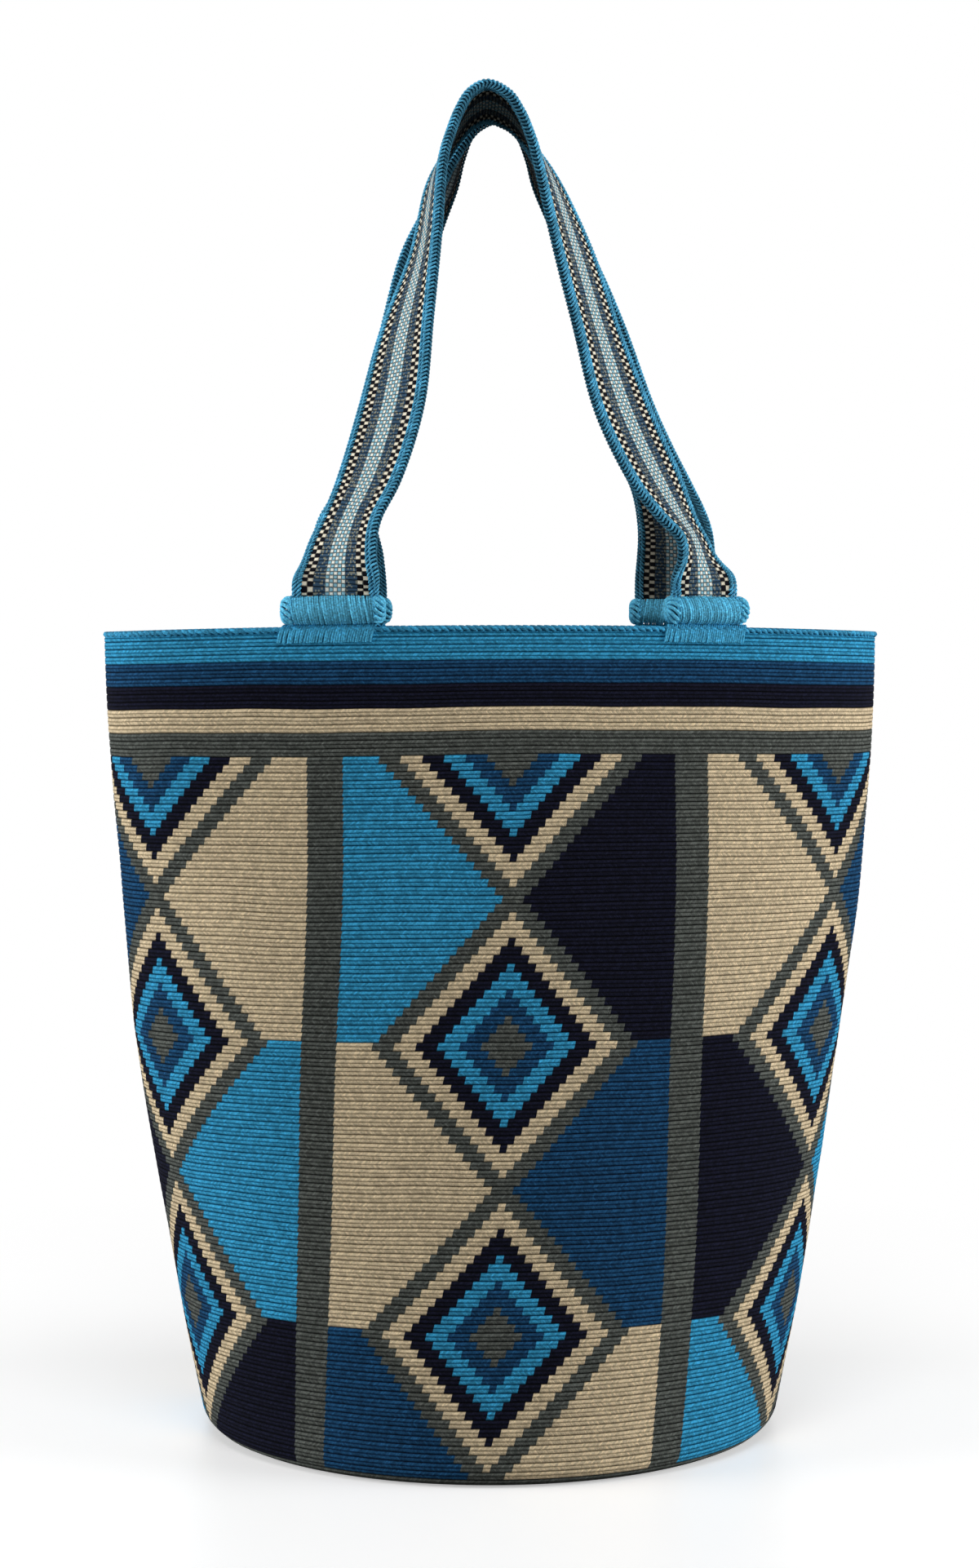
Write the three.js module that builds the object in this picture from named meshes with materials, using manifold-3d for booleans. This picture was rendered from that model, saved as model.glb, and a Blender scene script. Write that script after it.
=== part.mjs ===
// A crocheted mochila in the bucket shape, with two woven shoulder straps.
// Millimetres, +Z up. The origin is the middle of the base, on the floor; the front faces -Y.
import * as THREE from "three";
import { mergeVertices } from "three/addons/utils/BufferGeometryUtils.js";
import Module from "manifold-3d";

const wasm = await Module();
wasm.setup();

const { degToRad, radToDeg, lerp, clamp } = THREE.MathUtils;

// Driving dimensions of the crocheted body
const bagHeight = 308; // floor to rim at the middle of the front
const mouthHalfWidth = 151; // outside, along the mouth
const stitchCount = 260; // stitches in every round of the wall
const stitchWidth = 2.667;
const roundCount = 102; // crochet rounds from the base edge to the rim
const wall = 3.2;
const taperPower = 1.6; // how early the sides spread out above the base
const baseFillet = 8;
const mouthTurn = 10; // degrees that the oval mouth stands askew to the front
const rimSag = 2.5; // the two ends of the mouth hang this much below its middle

// Crochet ribs: neighbouring rounds are drawn in pairs
const roundsPerRib = 2;
const ribDepth = 0.8;

// Driving dimensions of the straps
const strapWidth = 33;
const strapThickness = 2.4;
const edgeWidth = 4.5; // the thicker border along both edges
const edgeThickness = 3.4;
const strapRise = 199.5; // rim to the middle of the strap at the top of the arch
const strapLean = degToRad(16); // how far the arch leans in over the mouth
const strapGap = 0.25; // each strap to the middle plane, where the two meet
const bendDrops = [28, 18, 9, 3]; // stations of the bend, below the top of the arch
const bendTurn = 0.6; // share of its leg's turn that the bend's lowest station takes
const straightRun = 3; // a strap leaves its binding straight for this far

// Clearance between pieces that touch
const sitGap = 0.3;

// Driving dimensions of the bound strap ends
const bindingOverhang = 3.2; // beyond each edge of its strap
const bindingHeight = 11;
const bindingDepth = 10.5;
const bindingTurns = 12; // drawn turns of yarn, each standing for three
const turnDepth = 0.5;
const strapTuck = 7.5; // how far a strap end goes into its binding

// Driving dimensions of the whip stitches that hold a binding to the rim
const stitchThickness = 1.2;
const stitchDrop = 4.6; // how far they reach down both faces of the rim
const stitchRibs = 7;

// Places of the bindings round the rim: degrees from the middle of the front, towards the right
const tabs = {
  front_left: -26.5,
  front_right: 29,
  back_right: 145.2,
  back_left: 199,
};

// Each leg of a strap from its tab to the bend: how far out it is as a share of its tab's
// place, how far up as a share of the rise, and the degrees its face has turned to the side
const legs = {
  front_left: [
    [0.96, 0.05, 30],
    [0.94, 0.1, 46],
    [0.88, 0.15, 47],
    [0.78, 0.22, 39],
    [0.65, 0.36, 43],
    [0.55, 0.53, 55],
    [0.425, 0.7, 72],
  ],
  front_right: [
    [0.98, 0.05, 60],
    [0.945, 0.1, 69],
    [0.87, 0.15, 61],
    [0.78, 0.22, 51],
    [0.63, 0.36, 48],
    [0.505, 0.53, 57],
    [0.39, 0.7, 62],
  ],
  back_left: [
    [1, 0.06, 16],
    [0.97, 0.14, 30],
    [0.83, 0.22, 45],
    [0.67, 0.4, 50],
    [0.57, 0.57, 60],
    [0.475, 0.72, 70],
  ],
  back_right: [
    [1, 0.06, 22],
    [0.99, 0.13, 32],
    [0.92, 0.22, 47],
    [0.81, 0.31, 49],
    [0.71, 0.4, 50],
    [0.57, 0.57, 57],
    [0.445, 0.72, 71],
  ],
};

// The top of each arch: how far right of the middle it is, and the radius of its bend there
// on the left and on the right
const frontTop = { shift: -1, leftRadius: 6.4, rightRadius: 9.4 };
const backTop = { shift: 1.9, leftRadius: 6.3, rightRadius: 6.9 };

// Fineness of the facets
const facetWidth = 19; // round the body
const wallSteps = 8; // rings up the smooth inside
const strapSteps = 2; // sections from one strap station to the next
const bindingSides = 10;
const depthTolerance = 1e-4; // how closely an oval's depth is worked out

const bodyColour = 0x4b4f45;
const strapColour = 0x9fb6bd;
const yarnColour = 0x2c86ad;

const girth = stitchCount * stitchWidth;
const baseRadius = girth / (2 * Math.PI);
const rimRadius = wall / 2;
const bindingLength = strapWidth + 2 * bindingOverhang;
const sides = Math.round(girth / facetWidth);
const upwards = new THREE.Vector3(0, 0, 1);

// Solids and skins

function solidFrom(geometry) {
  geometry.deleteAttribute("normal");
  geometry.deleteAttribute("uv");
  const merged = mergeVertices(geometry, 1e-3);
  return new wasm.Manifold(
    new wasm.Mesh({
      numProp: 3,
      vertProperties: merged.attributes.position.array,
      triVerts: new Uint32Array(merged.index.array),
    }),
  );
}

function geometryFrom(solid) {
  const { vertProperties, triVerts } = solid.getMesh();
  const geometry = new THREE.BufferGeometry();
  geometry.setAttribute("position", new THREE.BufferAttribute(vertProperties, 3));
  geometry.setIndex(new THREE.BufferAttribute(triVerts, 1));
  return geometry;
}

// A closed skin over rings of equal count. Each ring runs counter-clockwise seen from the
// last one, and outline is a ring laid flat, from which the two ends are filled
function loft(rings, outline) {
  const count = rings[0].length;
  const positions = rings.flat().flatMap((point) => point.toArray());
  const index = [];
  for (let r = 0; r < rings.length - 1; r++) {
    for (let k = 0; k < count; k++) {
      const a = r * count + k;
      const b = r * count + ((k + 1) % count);
      index.push(a, b, b + count, a, b + count, a + count);
    }
  }
  const end = (rings.length - 1) * count;
  const flat = outline.map(([x, y]) => new THREE.Vector2(x, y));
  for (const [a, b, c] of THREE.ShapeUtils.triangulateShape(flat, [])) {
    index.push(a, c, b, end + a, end + b, end + c);
  }
  const geometry = new THREE.BufferGeometry();
  geometry.setAttribute("position", new THREE.Float32BufferAttribute(positions, 3));
  geometry.setIndex(index);
  return geometry;
}

// Form of the body

// Length round an ellipse, after Ramanujan
function ellipseGirth(a, b) {
  return Math.PI * (3 * (a + b) - Math.sqrt((3 * a + b) * (a + 3 * b)));
}

// Every round has the same stitches, so where the bag is wider it is also shallower
function halfDepthFor(halfWidth) {
  let low = 0;
  let high = baseRadius;
  while (high - low > depthTolerance) {
    const middle = (low + high) / 2;
    if (ellipseGirth(halfWidth, middle) < girth) low = middle;
    else high = middle;
  }
  return low;
}

// The outer oval of the bag at a height
function ovalAt(height) {
  const rise = clamp(height / bagHeight, 0, 1);
  const spread = 1 - (1 - rise) ** taperPower;
  const halfWidth = lerp(baseRadius, mouthHalfWidth, spread);
  return { halfWidth, halfDepth: halfDepthFor(halfWidth), turn: degToRad(mouthTurn) * spread };
}

// A point of the bag: so far round from the front, inset from the outside, at a height
function bodyPoint(oval, angle, inset, height) {
  const x = (oval.halfWidth - inset) * Math.sin(angle);
  const y = -(oval.halfDepth - inset) * Math.cos(angle);
  const sag = rimSag * (height / bagHeight) ** 2 * Math.sin(angle) ** 2;
  const point = new THREE.Vector3(x, y, height - sag);
  return point.applyAxisAngle(upwards, oval.turn);
}

// The angles that divide an oval into parts of equal length
function equalAngles({ halfWidth, halfDepth }) {
  const oval = new THREE.EllipseCurve(0, 0, halfDepth, halfWidth);
  oval.arcLengthDivisions = 720;
  return Array.from({ length: sides }, (_, k) => 2 * Math.PI * oval.getUtoTmapping(k / sides));
}

// The wall's section as insets and heights: from the base's edge up the ribbed outside,
// over the round rim and down the smooth inside to the floor of the bag
function wallSection() {
  const section = [];
  const arc = (inset, height, radius, from, to, steps) => {
    for (let i = 0; i <= steps; i++) {
      const angle = degToRad(lerp(from, to, i / steps));
      section.push([inset - radius * Math.cos(angle), height + radius * Math.sin(angle)]);
    }
  };
  arc(baseFillet, baseFillet, baseFillet, -90, 0, 3);
  const ribCount = roundCount / roundsPerRib;
  const ribHeight = bagHeight / ribCount;
  const firstRib = Math.ceil(baseFillet / ribHeight);
  for (let i = firstRib; i < ribCount; i++) {
    const groove = i * ribHeight;
    if (i > firstRib) section.push([ribDepth, groove]);
    if (groove + ribHeight / 2 < bagHeight - wall) section.push([0, groove + ribHeight / 2]);
  }
  arc(rimRadius, bagHeight - rimRadius, rimRadius, 0, 180, 4);
  for (let i = wallSteps - 1; i > 0; i--) {
    section.push([wall, lerp(baseFillet, bagHeight - rimRadius, i / wallSteps)]);
  }
  arc(baseFillet, baseFillet, baseFillet - wall, 0, -90, 2);
  return section;
}

function makeBody() {
  const rings = wallSection().map(([inset, height]) => {
    const oval = ovalAt(height);
    return equalAngles(oval).map((angle) => bodyPoint(oval, angle, inset, height));
  });
  const outline = rings[0].map((point) => point.toArray());
  return solidFrom(loft(rings, outline));
}

// The rim, where the strap ends are sewn on

// The top of the rim so many degrees round, or further along it by a length
function rimAt(degrees, along = 0) {
  const oval = ovalAt(bagHeight);
  const start = degToRad(degrees);
  const step = 1e-3;
  const at = (angle) => bodyPoint(oval, angle, rimRadius, bagHeight);
  const speed = at(start + step).distanceTo(at(start - step)) / (2 * step);
  const angle = start + along / speed;
  const tangent = at(angle + step).sub(at(angle - step)).normalize();
  const outward = new THREE.Vector3(tangent.y, -tangent.x, 0).normalize();
  return { place: at(angle), tangent, outward };
}

// Sweeps a section along the rim. A section's points are [outwards, up from the rim's top]
function sweepOnRim(degrees, length, steps, section) {
  const rings = [];
  for (let i = 0; i <= steps; i++) {
    const { place, outward } = rimAt(degrees, length * (0.5 - i / steps));
    const shift = ([out, up]) => place.clone().addScaledVector(outward, out).setZ(place.z + up);
    rings.push(section(i).map(shift));
  }
  return solidFrom(loft(rings, section(0)));
}

// Straps

const bindingFoot = sitGap * 2 + stitchThickness; // its underside above the rim
const bindingTop = bindingFoot + bindingHeight;
const strapFoot = bindingTop - strapTuck;
const strapClear = bindingTop + straightRun;

// Across the strap and out from its middle: a thin band between two thick borders
function strapSection() {
  const half = strapWidth / 2;
  const inner = half - edgeWidth;
  const bead = half - edgeWidth / 4;
  const band = strapThickness / 2;
  const edge = edgeThickness / 2;
  const side = [
    [half, 0],
    [bead, edge],
    [inner, band],
    [-inner, band],
    [-bead, edge],
  ];
  return [...side, ...side.map(([x, y]) => [-x, -y])];
}

// Stations from the left tab over the bend to the right tab: the middle of the strap, and how
// far its face has turned (degrees) and leans over (share). side is -1 in front, 1 at the back
function strapStations(side, leftTab, rightTab, top) {
  const left = rimAt(tabs[leftTab]);
  const right = rimAt(tabs[rightTab]);
  const turnAt = {
    [leftTab]: radToDeg(Math.atan2(-left.tangent.y, -side * left.tangent.x)),
    [rightTab]: radToDeg(Math.atan2(right.tangent.y, -side * right.tangent.x)),
  };
  const topDepth = side * ((strapWidth / 2) * Math.cos(strapLean) + strapGap);
  const topHeight = bagHeight + strapRise;

  const leg = (tab, foot) => {
    const start = foot.place.z + strapClear;
    const depthAt = (up) => lerp(foot.place.y, topDepth, up);
    const heights = [strapFoot, bindingTop, strapClear];
    const points = heights.map((up) => ({
      at: new THREE.Vector3(foot.place.x, foot.place.y, foot.place.z + up),
      turn: turnAt[tab],
      lean: 0,
    }));
    for (const [out, up, turn] of legs[tab]) {
      const z = lerp(start, topHeight, up);
      points.push({ at: new THREE.Vector3(foot.place.x * out, depthAt(up), z), turn, lean: up });
    }
    const lastTurn = legs[tab].at(-1)[2];
    const radius = foot.place.x < 0 ? top.leftRadius : top.rightRadius;
    for (const drop of bendDrops) {
      const x = top.shift + Math.sign(foot.place.x) * Math.sqrt(2 * radius * drop);
      const z = topHeight - drop;
      const up = (z - start) / (topHeight - start);
      const turn = lerp(90, lastTurn, (bendTurn * drop) / bendDrops[0]);
      points.push({ at: new THREE.Vector3(x, depthAt(up), z), turn, lean: up });
    }
    return points;
  };

  const middle = { at: new THREE.Vector3(top.shift, topDepth, topHeight), turn: 90, lean: 1 };
  const mirrored = leg(rightTab, right).reverse();
  for (const station of mirrored) station.turn = 180 - station.turn;
  return [...leg(leftTab, left), middle, ...mirrored];
}

function makeStrap(side, leftTab, rightTab, top) {
  const stations = strapStations(side, leftTab, rightTab, top);
  const middles = stations.map((station) => station.at);
  const path = new THREE.CatmullRomCurve3(middles, false, "centripetal");
  const section = strapSection();
  const steps = (stations.length - 1) * strapSteps;
  const rings = [];
  for (let i = 0; i <= steps; i++) {
    const before = stations[Math.floor(i / strapSteps)];
    const after = stations[Math.ceil(i / strapSteps)];
    const share = (i % strapSteps) / strapSteps;
    const turn = degToRad(lerp(before.turn, after.turn, share));
    const lean = strapLean * lerp(before.lean, after.lean, share);
    const centre = path.getPoint(i / steps);
    const along = path.getTangent(i / steps);
    const across = new THREE.Vector3(
      -Math.cos(turn),
      -side * Math.sin(turn) * Math.cos(lean),
      -Math.sin(turn) * Math.sin(lean),
    );
    across.addScaledVector(along, -across.dot(along)).normalize();
    const out = new THREE.Vector3().crossVectors(along, across);
    const shift = ([x, y]) => centre.clone().addScaledVector(across, x).addScaledVector(out, y);
    rings.push(section.map(shift));
  }
  return solidFrom(loft(rings, section));
}

// Bindings and whip stitches

// Yarn wound round a folded strap end: a fat roll along the rim, with the strap let into its top
function makeBinding(degrees) {
  const steps = bindingTurns * 2;
  const roll = sweepOnRim(degrees, bindingLength, steps, (i) => {
    const atEnd = i === 0 || i === steps;
    const groove = (i % 2 === 0 ? turnDepth : 0) + (atEnd ? turnDepth * 2 : 0);
    return Array.from({ length: bindingSides }, (_, k) => {
      const angle = (k / bindingSides) * 2 * Math.PI;
      const out = (bindingDepth / 2 - groove) * Math.cos(angle);
      const up = (bindingHeight / 2 - groove) * Math.sin(angle);
      return [out, bindingFoot + bindingHeight / 2 + up];
    });
  });
  const { place, tangent } = rimAt(degrees);
  const slot = new THREE.BoxGeometry(
    strapWidth + 2 * sitGap,
    edgeThickness + 2 * sitGap,
    bindingHeight,
  );
  slot.rotateZ(Math.atan2(tangent.y, tangent.x));
  slot.translate(place.x, place.y, place.z + strapFoot - sitGap + bindingHeight / 2);
  return roll.subtract(solidFrom(slot));
}

// The stitches go over the rim and a little way down both of its faces
function makeWhipStitches(degrees) {
  const inside = rimRadius + sitGap;
  const shoulder = rimRadius * 0.7;
  return sweepOnRim(degrees, bindingLength, stitchRibs * 2, (i) => {
    const thickness = stitchThickness * (i % 2 === 0 ? 0.7 : 1);
    const outside = inside + thickness;
    const crown = sitGap + thickness;
    return [
      [outside, -stitchDrop],
      [outside, crown - rimRadius],
      [shoulder, crown],
      [-shoulder, crown],
      [-outside, crown - rimRadius],
      [-outside, -stitchDrop],
      [-inside, -stitchDrop],
      [-inside, -rimRadius],
      [-shoulder, sitGap],
      [shoulder, sitGap],
      [inside, -rimRadius],
      [inside, -stitchDrop],
    ];
  });
}

// Assembly

const bag = new THREE.Group();

function place(name, solid, colour, roughness) {
  const material = new THREE.MeshStandardMaterial({ color: colour, roughness, metalness: 0 });
  const mesh = new THREE.Mesh(geometryFrom(solid), material);
  mesh.name = name;
  bag.add(mesh);
}

place("crocheted_body", makeBody(), bodyColour, 0.95);
place("front_strap", makeStrap(-1, "front_left", "front_right", frontTop), strapColour, 0.95);
place("back_strap", makeStrap(1, "back_left", "back_right", backTop), strapColour, 0.95);
for (const [name, degrees] of Object.entries(tabs)) {
  place(name + "_binding", makeBinding(degrees), yarnColour, 0.85);
  place(name + "_whip_stitches", makeWhipStitches(degrees), yarnColour, 0.85);
}

export default bag;
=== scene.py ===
import math

import bpy
from mathutils import Matrix, Vector


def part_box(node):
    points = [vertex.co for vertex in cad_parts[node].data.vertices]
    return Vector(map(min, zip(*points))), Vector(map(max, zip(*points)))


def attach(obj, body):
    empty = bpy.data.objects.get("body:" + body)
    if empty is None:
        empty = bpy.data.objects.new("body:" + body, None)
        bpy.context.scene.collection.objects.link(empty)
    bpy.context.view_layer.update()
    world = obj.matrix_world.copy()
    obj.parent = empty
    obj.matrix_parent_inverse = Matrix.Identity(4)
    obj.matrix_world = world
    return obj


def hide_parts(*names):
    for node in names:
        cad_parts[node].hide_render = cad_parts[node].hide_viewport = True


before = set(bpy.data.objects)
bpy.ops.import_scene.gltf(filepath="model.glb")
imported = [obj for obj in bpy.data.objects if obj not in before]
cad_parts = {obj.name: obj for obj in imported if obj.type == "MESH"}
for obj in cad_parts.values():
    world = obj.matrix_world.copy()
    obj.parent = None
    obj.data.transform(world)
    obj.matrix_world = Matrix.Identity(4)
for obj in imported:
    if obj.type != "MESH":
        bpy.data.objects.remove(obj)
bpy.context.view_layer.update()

mm = 0.001
print("frame loaded:", len(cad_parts), "nodes")


# Camera

camera = {
    "distance": 1243 * mm,  # from the bag's middle, at the height of its rim
    "height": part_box("crocheted_body")[1].z,
    "tilt": 2.78,  # degrees downwards
    "lens": 73.6,
    "sensor": 36,
    "reach": 20,  # metres that it sees
}


def makeCamera():
    data = bpy.data.cameras.new("camera")
    data.lens = camera["lens"]
    data.sensor_width = camera["sensor"]
    data.clip_end = camera["reach"]
    holder = bpy.data.objects.new("camera", data)
    bpy.context.scene.collection.objects.link(holder)
    holder.location = (0, -camera["distance"], camera["height"])
    holder.rotation_euler = (math.radians(90 - camera["tilt"]), 0, 0)
    bpy.context.scene.camera = holder


makeCamera()
print("camera placed")


# Nodes

class Wire:
    def __init__(self, graph, socket):
        self.graph = graph
        self.socket = socket

    def other(self, name):  # another output of the same node
        return Wire(self.graph, self.socket.node.outputs[name])

    def __add__(self, value):
        return self.graph.calc("ADD", self, value)

    def __radd__(self, value):
        return self.graph.calc("ADD", value, self)

    def __sub__(self, value):
        return self.graph.calc("SUBTRACT", self, value)

    def __rsub__(self, value):
        return self.graph.calc("SUBTRACT", value, self)

    def __mul__(self, value):
        return self.graph.calc("MULTIPLY", self, value)

    def __rmul__(self, value):
        return self.graph.calc("MULTIPLY", value, self)

    def __truediv__(self, value):
        return self.graph.calc("DIVIDE", self, value)

    def __pow__(self, value):
        return self.graph.calc("POWER", self, value)

    def __gt__(self, value):
        return self.graph.calc("GREATER_THAN", self, value)

    def __lt__(self, value):
        return self.graph.calc("LESS_THAN", self, value)

    def __abs__(self):
        return self.graph.calc("ABSOLUTE", self)


class Graph:
    def __init__(self, tree):
        self.tree = tree

    def node(self, kind, settings=None, sockets=None, out=0):
        made = self.tree.nodes.new(kind)
        for name, value in (settings or {}).items():
            if name == "stops":
                setStops(made.color_ramp, value)
            else:
                setattr(made, name, value)
        for key, value in (sockets or {}).items():
            if isinstance(value, Wire):
                self.tree.links.new(value.socket, made.inputs[key])
            else:
                made.inputs[key].default_value = value
        return Wire(self, made.outputs[out])

    def calc(self, operation, *values):
        return self.node("ShaderNodeMath", {"operation": operation}, dict(enumerate(values)))

    def floor(self, value):
        return self.calc("FLOOR", value)

    def fraction(self, value):
        return self.calc("FRACT", value)

    def pingpong(self, value, reach):
        return self.calc("PINGPONG", value, reach)

    def wave(self, value):  # 0 at whole numbers and 1 between them
        return abs(self.calc("SINE", value * math.pi))

    def atMost(self, value, limit):
        return self.calc("MINIMUM", value, limit)

    def vector(self, x, y, z):
        return self.node("ShaderNodeCombineXYZ", {}, {0: x, 1: y, 2: z})

    def swing(self, value, contrast):  # turns 0 to 1 into a factor round 1
        return self.calc("POWER", contrast, value - 0.5)

    def cells(self, x, y):  # a chance value for each whole cell
        cell = self.vector(self.floor(x), self.floor(y), 0)
        return self.node("ShaderNodeTexWhiteNoise", {"noise_dimensions": "2D"}, {0: cell})

    def scaled(self, vector, factor):
        settings = {"operation": "SCALE"}
        return self.node("ShaderNodeVectorMath", settings, {"Vector": vector, "Scale": factor})

    def mixColour(self, factor, first, second, blend="MIX"):
        settings = {"data_type": "RGBA", "blend_type": blend}
        return self.node("ShaderNodeMix", settings, {0: factor, 6: first, 7: second}, out=2)

    def place(self):  # where a point lies on the object
        return self.node("ShaderNodeTexCoord", {}, {}, out="Object")

    def grey(self, value):  # a number as a colour
        return self.node("ShaderNodeCombineColor", {}, {0: value, 1: value, 2: value})

    def steps(self, value, stops):  # flat colours, each from its place on
        return self.node("ShaderNodeValToRGB", {"stops": stops}, {0: value})

    def noise(self, vector, scale, detail=2):
        sockets = {"Vector": vector, "Scale": scale, "Detail": detail}
        return self.node("ShaderNodeTexNoise", {}, sockets)


def setStops(ramp, stops):
    ramp.interpolation = "CONSTANT"
    while len(ramp.elements) < len(stops):
        ramp.elements.new(1)
    for element, (place, colour) in zip(ramp.elements, stops):
        element.position = place
        element.color = colour


def colour(red, green, blue):  # as shown on a screen, 0 to 255
    def linear(value):
        share = value / 255
        return share / 12.92 if share <= 0.04045 else ((share + 0.055) / 1.055) ** 2.4

    return (linear(red), linear(green), linear(blue), 1)


def newMaterial(name, roughness=0.95, gloss=0.06):
    material = bpy.data.materials.new(name)
    material.use_nodes = True
    shader = material.node_tree.nodes["Principled BSDF"]
    shader.inputs["Roughness"].default_value = roughness
    shader.inputs["Specular IOR Level"].default_value = gloss
    return material, Graph(material.node_tree), shader


def dress(graph, shader, paint, height, depth):
    sockets = {"Height": height, "Strength": 1, "Distance": depth}
    normal = graph.node("ShaderNodeBump", {}, sockets)
    graph.tree.links.new(paint.socket, shader.inputs["Base Color"])
    graph.tree.links.new(normal.socket, shader.inputs["Normal"])


# A geometry tree with named inputs. Its last nodes realise the instances and set the material
class Recipe(Graph):
    def __init__(self, name, sizes):
        super().__init__(bpy.data.node_groups.new(name, "GeometryNodeTree"))
        self.tree.is_modifier = True
        face = self.tree.interface
        face.new_socket("Geometry", in_out="INPUT", socket_type="NodeSocketGeometry")
        face.new_socket("Material", in_out="INPUT", socket_type="NodeSocketMaterial")
        for label, value in sizes.items():
            kind = "NodeSocketInt" if isinstance(value, int) else "NodeSocketFloat"
            face.new_socket(label, in_out="INPUT", socket_type=kind).default_value = value
        face.new_socket("Geometry", in_out="OUTPUT", socket_type="NodeSocketGeometry")
        self.start = self.node("NodeGroupInput")

    def given(self, label):
        return self.start.other(label)

    def named(self, attribute, kind="FLOAT_VECTOR"):
        settings = {"data_type": kind}
        return self.node("GeometryNodeInputNamedAttribute", settings, {"Name": attribute})

    def joined(self, *parts):
        made = self.tree.nodes.new("GeometryNodeJoinGeometry")
        for part in parts:
            self.tree.links.new(part.socket, made.inputs[0])
        return Wire(self, made.outputs[0])

    def chance(self, seed, low=0.0, high=1.0):  # a random value for each point
        sockets = {"Min": low, "Max": high, "Seed": seed}
        return self.node("FunctionNodeRandomValue", {"data_type": "FLOAT"}, sockets, out=1)

    def stance(self, turn=None):  # how a shape stands on a path: X across, Z facing
        settings = {"primary_axis": "X", "secondary_axis": "Z"}
        sockets = {0: self.named("across"), 1: self.named("facing")}
        rotation = self.node("FunctionNodeAxesToRotation", settings, sockets)
        if turn is None:
            return rotation
        sockets = {"Axis": (1, 0, 0), "Angle": turn}
        lean = self.node("FunctionNodeAxisAngleToRotation", {}, sockets)
        settings = {"rotation_space": "LOCAL"}
        return self.node("FunctionNodeRotateRotation", settings, {0: rotation, 1: lean})

    def finishWith(self, geometry):
        solid = self.node("GeometryNodeRealizeInstances", {}, {0: geometry})
        smooth = self.node("GeometryNodeSetShadeSmooth", {}, {0: solid})
        sockets = {"Geometry": smooth, "Material": self.given("Material")}
        done = self.node("GeometryNodeSetMaterial", {}, sockets)
        end = self.tree.nodes.new("NodeGroupOutput")
        self.tree.links.new(done.socket, end.inputs[0])
        return self.tree


def grow(source, tree, material, sizes):  # runs a tree on an object and keeps a plain mesh
    modifier = source.modifiers.new("grow", "NODES")
    modifier.node_group = tree
    values = {"Material": material, **sizes}
    for item in tree.interface.items_tree:
        if item.in_out == "INPUT" and item.name in values:
            modifier[item.identifier] = values[item.name]
    graph = bpy.context.evaluated_depsgraph_get()
    mesh = bpy.data.meshes.new_from_object(source.evaluated_get(graph), depsgraph=graph)
    name = source.name
    source.modifiers.remove(modifier)
    bpy.data.objects.remove(source)
    return addObject(name, mesh)


def addObject(name, mesh):
    mesh.name = name
    made = bpy.data.objects.new(name, mesh)
    bpy.context.scene.collection.objects.link(made)
    return made


def settle(piece, slot, *nodes):  # hands a finished piece to the frame
    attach(piece, "root")
    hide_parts(*nodes)
    print(piece.name, len(piece.data.polygons), "faces")


# Yarn colours

yarn = {
    "lightBlue": colour(56, 150, 192),
    "midBlue": colour(28, 72, 108),
    "navy": colour(19, 21, 38),
    "beige": colour(212, 194, 162),
    "grey": colour(86, 90, 86),
}


# Form of the body

bag = {
    "height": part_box("crocheted_body")[1].z,
    "mouthHalfWidth": 151 * mm,
    "stitches": 260,
    "stitchWidth": 2.667 * mm,
    "rounds": 102,
    "baseGrowth": 7.65,  # stitches by which each round of the base is longer than the one before
    "wall": 3.2 * mm,
    "taperPower": 1.6,  # above 1 the wall opens out more at its foot than at the mouth
    "baseFillet": 8 * mm,
    "mouthTurn": 10,  # degrees
    "rimSag": 2.5 * mm,  # how far the rim hangs at its left and right
    "lean": 2.9 * mm,  # how far the mouth leans to the right
    "leanFrom": 0.4,  # shares of the height between which it leans
    "leanTo": 0.75,
    "evenRounds": 52,  # above these, the rounds grow lower towards the rim
    "rimTightness": 2.2 * mm,
    "columns": 160,  # faces round the body
    "roundSteps": (0, 0.1, 0.5, 0.9),  # where the faces of a round meet
    "rimSteps": (90, 120, 150),  # degrees over the rim
    "grooveDepth": 0.35 * mm,
    "wobble": 1.0 * mm,  # how far the rounds wander up and down
    "bulge": 1.1 * mm,
    "bulgesPerMetre": 15.0,
    "stillBase": 50 * mm,  # over this height the unevenness grows from nothing
    "stillRim": 30 * mm,  # and under the rim the wandering fades over this one
    "seed": 3,
}
rowHeight = bag["height"] / bag["rounds"]
girth = bag["stitches"] * bag["stitchWidth"]
baseRadius = girth / (2 * math.pi)
rimRadius = bag["wall"] / 2


def lerp(start, end, share):
    return start + (end - start) * share


def ellipseGirth(a, b):
    return math.pi * (3 * (a + b) - math.sqrt((3 * a + b) * (a + 3 * b)))


def halfDepthFor(halfWidth):
    low, high = 0, baseRadius
    while high - low > 1e-7:
        middle = (low + high) / 2
        if ellipseGirth(halfWidth, middle) < girth:
            low = middle
        else:
            high = middle
    return low


def ovalAt(height):  # half width, half depth and turn
    rise = min(max(height / bag["height"], 0), 1)
    spread = 1 - (1 - rise) ** bag["taperPower"]
    halfWidth = lerp(baseRadius, bag["mouthHalfWidth"], spread)
    return halfWidth, halfDepthFor(halfWidth), math.radians(bag["mouthTurn"]) * spread


def bodyPoint(oval, angle, inset, height):
    halfWidth, halfDepth, turn = oval
    x = (halfWidth - inset) * math.sin(angle)
    y = -(halfDepth - inset) * math.cos(angle)
    sag = bag["rimSag"] * (height / bag["height"]) ** 2 * math.sin(angle) ** 2
    share = (height / bag["height"] - bag["leanFrom"]) / (bag["leanTo"] - bag["leanFrom"])
    share = min(max(share, 0), 1)
    lean = bag["lean"] * share**2 * (3 - 2 * share)
    return Matrix.Rotation(turn, 3, "Z") @ Vector((x, y, height - sag)) + Vector((lean, 0, 0))


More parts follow.
